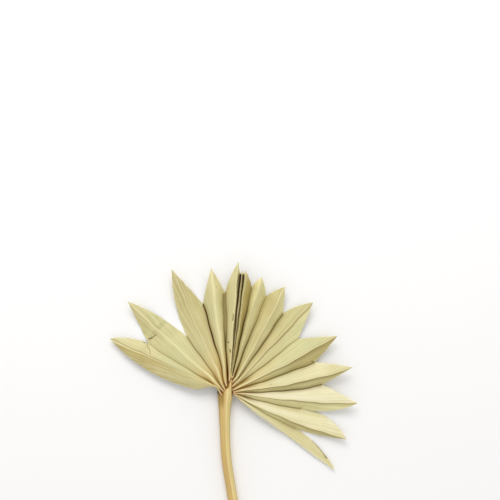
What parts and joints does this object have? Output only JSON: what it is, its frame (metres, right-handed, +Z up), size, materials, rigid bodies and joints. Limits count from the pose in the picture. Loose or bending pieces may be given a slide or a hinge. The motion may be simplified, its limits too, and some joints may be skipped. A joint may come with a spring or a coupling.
{
  "type": "fan palm leaf",
  "caption": "Dried fan palm leaf: a pleated fan of pointed, trimmed blades spreading from the head of a cut stalk, lying face up.",
  "frame": {"origin": "centre of the leaf's box in plan, on the surface that the leaf lies on", "axes": "+Y along the leaf from the cut end of the stalk to the middle of the fan, +Z up out of the face of the leaf, +X to the right of the leaf seen from above"},
  "size_m": [0.1985, 0.3435, 0.0172],
  "materials": {
    "dry_blade": "dry matt leaf with fine lengthwise veins",
    "dry_stalk": "dry satin stem with fine lengthwise fibres"
  },
  "bodies": {
    "root": {"leaf_blade": "dry_blade", "leaf_stalk": "dry_stalk"}
  },
  "joints": []
}
